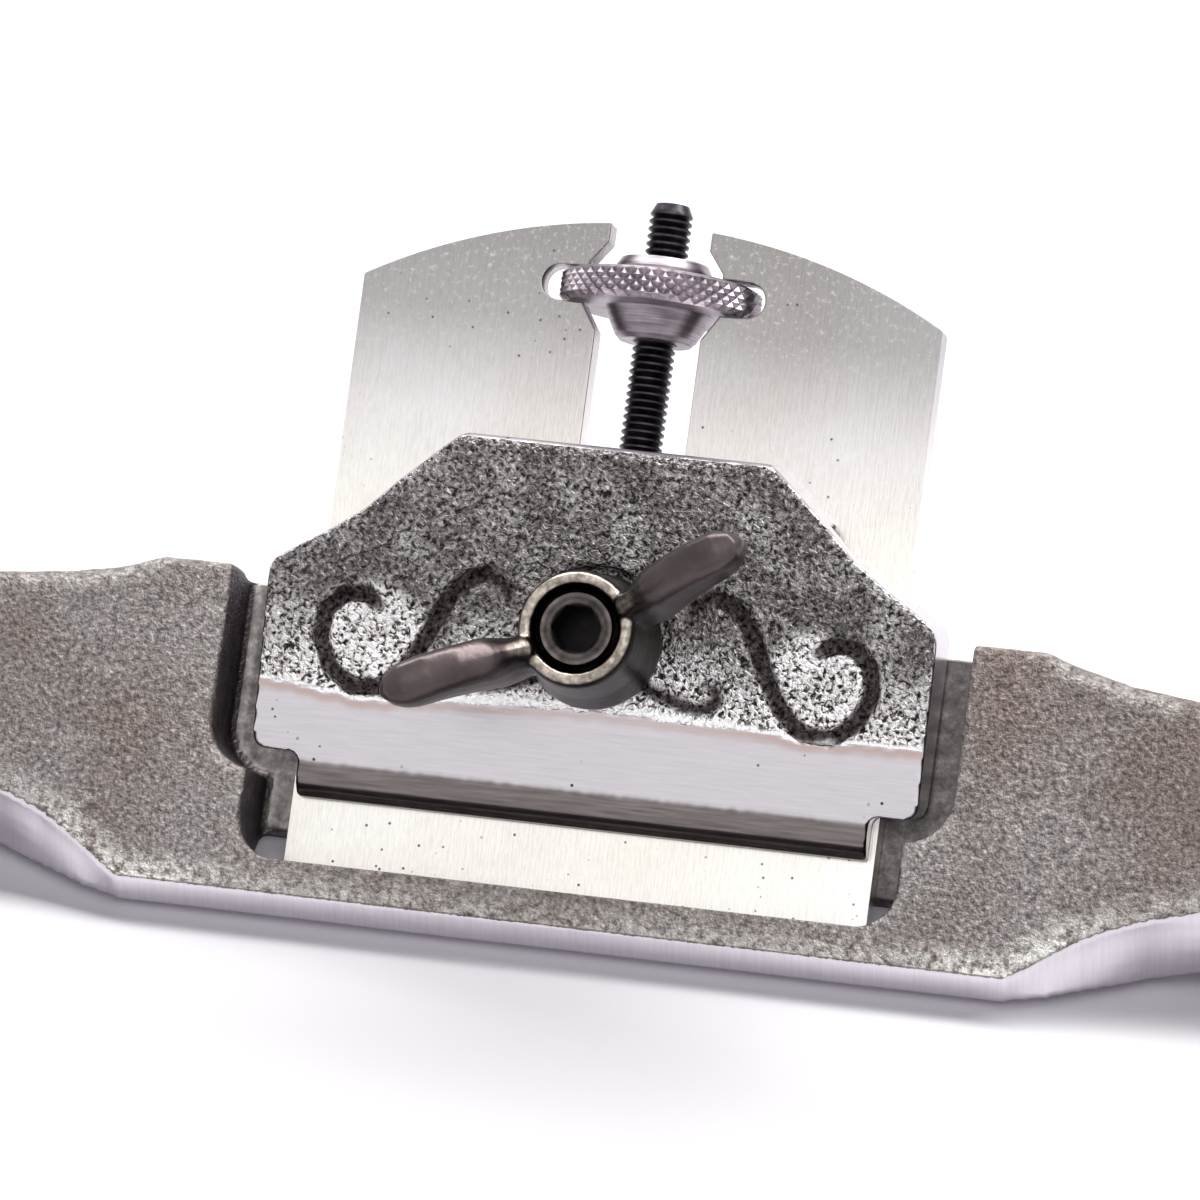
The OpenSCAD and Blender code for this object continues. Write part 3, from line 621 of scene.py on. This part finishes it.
# Centre lines on the cap face: distance to the side and up from the lip, mirrored to the other side
SCROLL = ((10.4, 22.2), (12.1, 21.6), (13.6, 20.2), (14.6, 18.2), (15.7, 15.7), (17.3, 12.8), (19.6, 10.8),
          (22.2, 10.6), (24.4, 12.3), (25.5, 14.9), (25.2, 17.3), (23.7, 18.9), (21.6, 19.1), (20.1, 18.0))
ARCH = ((10.4, 22.2), (9.4, 21.7), (8.6, 20.8), (8.2, 19.8))
CURL = ((3.0, 14.1), (5.0, 13.3), (6.8, 12.7), (8.3, 12.25), (9.5, 11.95), (10.7, 12.1), (11.5, 12.9),
        (11.3, 13.8), (10.4, 14.2))
# Top of the polished band: distance to the side and height up the bed
BAND_TOP = ((-31, 14.65), (-25.9, 14.1), (-21.1, 13.5), (-15.6, 14.05), (-7.2, 14.5), (2.0, 14.85), (5.9, 14.7),
            (9.7, 14.6), (15.5, 14.65), (19.8, 14.15), (25.0, 14.5), (30, 14.6))

# Millimetres that the grooves are deep, and that the band is polished down
GROOVE_DEPTH, BAND_STEP = 0.3, 0.12
# A line is set with this many dots from point to point, and each is felt as far as this
DOTS_PER_LEG, DOT_REACH = 12, 2.0
# A free end gets narrower over this length, where its dots are lifted by up to this much
END_LENGTH, END_LIFT = 1.8, 0.55
# The middle of each scroll's eye, and the corner above the right lug
EYE_X, EYE_V = 20.4, 14.8
LUG_X, LUG_S = 28.6, 9.0


def scroll_dots():
    """Dots along the scrolls of both halves; a dot lifted off the face cuts a narrower groove."""
    dots = []
    for line in (SCROLL, ARCH, CURL):
        for (x0, v0), (x1, v1) in zip(line, line[1:]):
            for i in range(DOTS_PER_LEG):
                x, v = x0 + (x1 - x0) * i / DOTS_PER_LEG, v0 + (v1 - v0) * i / DOTS_PER_LEG
                from_start = math.dist((x, v), line[0]) if line is CURL else math.inf
                to_end = min(from_start, math.dist((x, v), line[-1]))
                lift = END_LIFT * smooth(END_LENGTH, 0.0, to_end)
                dots += [(x, v, lift), (-x, v, lift)]
    return dots


class SHAVE_OT_lever_cap(bpy.types.Operator):
    """The lever cap: coarse casting with scrolls, polished band and rolled lip"""
    bl_idname = "shave.lever_cap"
    bl_label = "Lever cap"

    def execute(self, context):
        sizes = context.scene.shave_sizes
        work = cast_skin(merged_copy("lever_cap"), sizes.cap_skin / MM, rounds=2)
        layers = painted(work, CAP_LAYERS)
        self.mark(work, sizes.groove_w / MM / 2, *layers)
        self.carve(work, sizes.sand / MM, *layers[:2])
        work.normal_update()
        place(work, "lever_cap_casting", "lever_cap", "lever_cap", "cap_casting",
              scrolled_cap_iron(context.scene.shave_colours))
        return {"FINISHED"}

    def mark(self, work, half, band, groove, rubbed, painted_crest_highlight, warm, lip, pitted):
        """Draws grooves, band, wear, the painted highlight on the band's top edge and the painted shade on the lip: v
        runs up it from the lip and q stands square to it.
        """
        turn, sink = math.cos(CAP_TILT), math.sin(CAP_TILT)
        face = Vector((0, -sink, turn))
        on_line = near(scroll_dots(), DOT_REACH)
        for vert in work.verts:
            x, s, n = vert.co
            side = abs(x)
            v = (s - CAP_LIP_S) * turn + (n - BLADE_T) * sink
            q = (n - BLADE_T) * turn - (s - CAP_LIP_S) * sink
            up = vert.normal.dot(face)
            edge = steps(x, BAND_TOP) + 0.25 * noise.noise(Vector((x / 1.5, 0, 0)))
            below = edge - s
            wide = smooth(17, 9, side)
            away = DOT_REACH * (1 - on_line(Vector((x, v, 0)))) if q > CAP_FACE_Q - 0.9 else DOT_REACH
            vert[groove] = smooth(half + 0.4, half - 0.35, away) * (below < 0.0)
            flank = smooth(0.75, 0.55, up) * (1 - vert[groove])
            vert[band] = max(smooth(-0.12, 0.12, below), flank)
            # The painted highlight along the top edge of the band
            vert[painted_crest_highlight] = math.exp(-((below + 0.14 + 0.3 * wide) / (0.22 + 0.25 * wide)) ** 2) * (up > 0.7)
            vert[warm] = smooth(0.0, 0.15, below) * smooth(1.25, 0.3, below) * (0.45 + 0.25 * smooth(5, 22, side))
            # The rolled lip, which the material darkens with painted shade
            vert[lip] = smooth(3.7, 3.2, v + 0.12 * noise.noise(Vector((x / 0.8, 5, 0)))) * (v > -2)
            vert[pitted] = smooth(3.2, 1.2, math.hypot(x - LUG_X, s - LUG_S))
            # Rubbed bright in the eye of each scroll, under the nut, above the band and at the side corners
            from_eye = math.hypot(side - EYE_X, v - EYE_V)
            light = 0.08 + 0.72 * smooth(6.0, 4.2, from_eye) + 0.62 * smooth(19.5, 14.0, v) * smooth(20, 9, side)
            light += 0.5 * smooth(5.0, 0.5, -below) + 0.35 * smooth(22.0, 26.0, side) * smooth(20, 16, v)
            vert[rubbed] = min(1.0, max(0.0, light + 0.3 * noise.noise(Vector((x / 4, s / 4, 3)))))

    def carve(self, work, height, band, groove):
        """Sinks the sand lumps, the grooves and the polished band into the face."""
        for vert in work.verts:
            co = vert.co
            lump = 0.5 * (noise.noise(co / 1.3) - 1) + 0.6 * (noise.noise(co / 0.62) - 1)
            cut = GROOVE_DEPTH * vert[groove] * (vert.normal.z > 0.6)
            fade = BAND_STEP * vert[band] * (vert.normal.z > 0.3)
            vert.co = co + vert.normal * ((1 - vert[band]) * height * lump - cut - fade)


# Millimetres that each side of a wing gains, and the distances from the axis between which it does
WING_SWELL, WING_ROOT = 0.75, (5.5, 8.5)
# A wing's round tip starts at this distance from the axis and narrows over this length
TIP_START, TIP_LENGTH = 14.6, 3.2


class SHAVE_OT_wing_nut(bpy.types.Operator):
    """The wing nut: a ring that flares to its foot, and two leaf-shaped wings"""
    bl_idname = "shave.wing_nut"
    bl_label = "Wing nut"

    def execute(self, context):
        work = cast_skin(merged_copy("wing_nut"), context.scene.shave_sizes.nut_skin / MM, rounds=6)
        ring, wear_and_highlight, painted_nut_shade = painted(work, NUT_LAYERS)
        for vert in work.verts:
            x, s, n = vert.co
            r = math.hypot(x, s - CAP_STUD_S)
            on_top = smooth(8.7, 9.6, n - NUT_SEAT_N) * smooth(6.3, 5.6, r)
            vert[ring] = on_top if vert.normal.z > 0.15 else 0.0
            # Convex edges away from the axis, for wear and a painted highlight
            vert[wear_and_highlight] = smooth(0.012, 0.04, bend_of(vert)) * smooth(4, 8, r)
        wing_side = Vector((-math.sin(WING_TURN), math.cos(WING_TURN), 0))
        for vert in work.verts:
            x, s, n = vert.co
            up = vert.normal.z
            around = Vector((CAP_STUD_S - s, x, 0)).normalized()
            r = math.hypot(x, s - CAP_STUD_S)
            swell = WING_SWELL * smooth(*WING_ROOT, r)
            vert.co += around * around.dot(vert.normal) * swell
            aside = (vert.co - Vector((0, CAP_STUD_S, n))).dot(wing_side)
            tip = math.sqrt(max(0.12, 1 - (max(0.0, r - TIP_START) / TIP_LENGTH) ** 2))
            vert.co -= wing_side * aside * (1 - tip) * (r > TIP_START)
            # Painted shade on downward faces and round the barrel
            vert[painted_nut_shade] = max(0.4 * smooth(0.3, -0.1, up), smooth(0.8, 0.5, up) * smooth(8.0, 6.5, r))
        work.normal_update()
        place(work, "wing_nut_casting", "wing_nut", "wing_nut", "nut_casting",
              cast_nut_iron(context.scene.shave_colours))
        return {"FINISHED"}


class SHAVE_OT_blade(bpy.types.Operator):
    """The ground steel blade with its slot, cross slot and arched top"""
    bl_idname = "shave.blade"
    bl_label = "Blade"

    def execute(self, context):
        work = merged_copy("blade")
        # The cutting edge itself stays sharp
        eased(work, context.scene.shave_sizes.blade_ease / MM, angle=40,
              keep=lambda edge: min(vert.co.y for vert in edge.verts) > -2)
        place(work, "ground_blade", "blade", "blade", "ground_steel",
              ground_tool_steel(context.scene.shave_colours), sharp=30, flat_area=3.0)
        return {"FINISHED"}


class SHAVE_OT_adjuster(bpy.types.Operator):
    """The knurled adjuster wheel and the threaded stud that it runs on"""
    bl_idname = "shave.adjuster"
    bl_label = "Adjuster"

    def execute(self, context):
        colours = context.scene.shave_colours
        place(merged_copy("adjuster_wheel"), "knurled_wheel", "adjuster_wheel", "adjuster_wheel", "turned_steel",
              turned_steel(colours), sharp=14)
        place(merged_copy("adjuster_stud"), "adjuster_screw", "body", "adjuster_stud", "black_steel",
              black_oxide_steel(colours), sharp=30)
        return {"FINISHED"}


# The cap screw's hexagon socket: millimetres from its axis, and from its floor to just under its rim
SOCKET_REACH, SOCKET_FLOOR_N, SOCKET_RIM_N = 2.5, 10, 17


class SHAVE_OT_cap_screw(bpy.types.Operator):
    """The set screw that stands in the bed under the wing nut"""
    bl_idname = "shave.cap_screw"
    bl_label = "Cap screw"

    def execute(self, context):
        work = merged_copy("cap_stud")
        # The socket, which the material paints near black as shade
        socket, = painted(work, ("socket",))
        for vert in work.verts:
            x, s, n = vert.co
            in_socket = math.hypot(x, s - CAP_STUD_S) < SOCKET_REACH and SOCKET_FLOOR_N < n < SOCKET_RIM_N
            vert[socket] = float(in_socket)
        place(work, "cap_screw", "body", "cap_stud", "dark_steel",
              dark_screw_steel(), sharp=30)
        return {"FINISHED"}


# Metres: the paper lies a little under the sole, so that the two never share a plane
FLOOR_RADIUS, FLOOR_GAP = 4.0, 0.0004
# Name, place and size in metres, and watts. The long lamp behind throws the short shadow in front of the toe
# and blurs what stands across it.
LAMPS = (("behind", (0.10, 0.575, 0.70), (1.8, 0.24), 16.0),
         ("overhead", (0.25, -0.45, 1.15), (0.9, 0.9), 1.9))
LAMP_AIM = Vector((0, 0.005, 0.015))


class SHAVE_OT_stage(bpy.types.Operator):
    """White floor, soft lamps and the camera at the photograph's angle"""
    bl_idname = "shave.stage"
    bl_label = "Stage"

    def execute(self, context):
        scene = context.scene
        scene.view_settings.view_transform = "Standard"
        self.camera(scene)
        self.floor(scene)
        self.lamps(scene)
        return {"FINISHED"}

    def camera(self, scene):
        # Fitted to the photograph, in degrees and millimetres
        distance = 788
        turn, rise, roll = math.radians(14.78), math.radians(37.32), math.radians(-2.85)
        back = Vector((math.sin(turn) * math.cos(rise), -math.cos(turn) * math.cos(rise), math.sin(rise)))
        right = Vector((math.cos(turn), math.sin(turn), 0))
        up = back.cross(right)
        right, up = (right * math.cos(roll) + up * math.sin(roll), up * math.cos(roll) - right * math.sin(roll))
        # A point on the lever cap, and how far beside and above the picture's centre it is seen
        aim = Vector((0, 19.09 - SOLE_MID, 23.33)) - right * 1.675 - up * 4.367
        data = bpy.data.cameras.new("camera")
        data.sensor_width, data.lens = 36, 260.6
        data.clip_start, data.clip_end = 0.05, 20
        camera = bpy.data.objects.new("camera", data)
        scene.collection.objects.link(camera)
        turned = Matrix((right, up, back)).transposed().to_4x4()
        camera.matrix_world = Matrix.Translation((aim + back * distance) * MM) @ turned
        scene.camera = camera

    def floor(self, scene):
        colours = scene.shave_colours
        work = bmesh.new()
        bmesh.ops.create_circle(work, cap_ends=True, segments=64, radius=FLOOR_RADIUS)
        bmesh.ops.translate(work, vec=(0, 0, -FLOOR_GAP), verts=work.verts)
        mesh = bpy.data.meshes.new("floor")
        work.to_mesh(mesh)
        work.free()
        floor = bpy.data.objects.new("floor", mesh)
        scene.collection.objects.link(floor)
        material = bpy.data.materials.new("white_paper")
        tree = blank_tree(material)
        # The paper glows a little to the camera and in reflections, and still takes the shadow
        seen = seen_rays(tree)
        paper = add(tree, "ShaderNodeBsdfDiffuse", {"Color": tone(colours.floor, 1)})
        glow = add(tree, "ShaderNodeEmission", {"Color": tone(colours.shade, 1), "Strength": 0.06})
        both = add(tree, "ShaderNodeAddShader", links={0: paper, 1: glow})
        mix = add(tree, "ShaderNodeMixShader", links={0: seen, 1: paper, 2: both})
        add(tree, "ShaderNodeOutputMaterial", links={"Surface": mix})
        mesh.materials.append(material)

    def lamps(self, scene):
        world = bpy.data.worlds.new("studio")
        scene.world = world
        tree = blank_tree(world)
        seen = seen_rays(tree)
        shown = add(tree, "ShaderNodeBackground", {"Color": (1, 1, 1, 1), "Strength": 1.0})
        fill = add(tree, "ShaderNodeBackground", {"Color": tone(scene.shave_colours.shade, 1), "Strength": 0.14})
        mix = add(tree, "ShaderNodeMixShader", links={0: seen, 1: fill, 2: shown})
        add(tree, "ShaderNodeOutputWorld", links={"Surface": mix})
        for name, spot, size, power in LAMPS:
            data = bpy.data.lights.new(name, "AREA")
            data.shape = "RECTANGLE"
            data.size, data.size_y = size
            data.energy = power
            lamp = bpy.data.objects.new(name, data)
            scene.collection.objects.link(lamp)
            lamp.location = spot
            lamp.rotation_mode = "QUATERNION"
            lamp.rotation_quaternion = (LAMP_AIM - Vector(spot)).to_track_quat("-Z", "Y")
            lamp.visible_camera = False


OPERATORS = (SHAVE_OT_stage, SHAVE_OT_body, SHAVE_OT_blade, SHAVE_OT_lever_cap, SHAVE_OT_cap_screw,
             SHAVE_OT_wing_nut, SHAVE_OT_adjuster)


class SHAVE_PT_panel(bpy.types.Panel):
    """Lists the steps that build the spokeshave"""
    bl_idname = "SHAVE_PT_panel"
    bl_label = "Spokeshave"
    bl_space_type = "VIEW_3D"
    bl_region_type = "UI"
    bl_category = "Spokeshave"

    def draw(self, context):
        for group in (context.scene.shave_sizes, context.scene.shave_colours):
            for name in group.__annotations__:
                self.layout.prop(group, name)
        for operator in OPERATORS:
            self.layout.operator(operator.bl_idname)


CLASSES = (SpokeshaveSizes, SpokeshaveColours, *OPERATORS, SHAVE_PT_panel)


def register():
    for kind in CLASSES:
        bpy.utils.register_class(kind)
    bpy.types.Scene.shave_sizes = PointerProperty(type=SpokeshaveSizes)
    bpy.types.Scene.shave_colours = PointerProperty(type=SpokeshaveColours)


def unregister():
    del bpy.types.Scene.shave_colours
    del bpy.types.Scene.shave_sizes
    for kind in reversed(CLASSES):
        bpy.utils.unregister_class(kind)


def main():
    register()
    for step in (bpy.ops.shave.stage, bpy.ops.shave.body, bpy.ops.shave.blade, bpy.ops.shave.lever_cap,
                 bpy.ops.shave.cap_screw, bpy.ops.shave.wing_nut, bpy.ops.shave.adjuster):
        step()


if __name__ == "__main__":
    main()
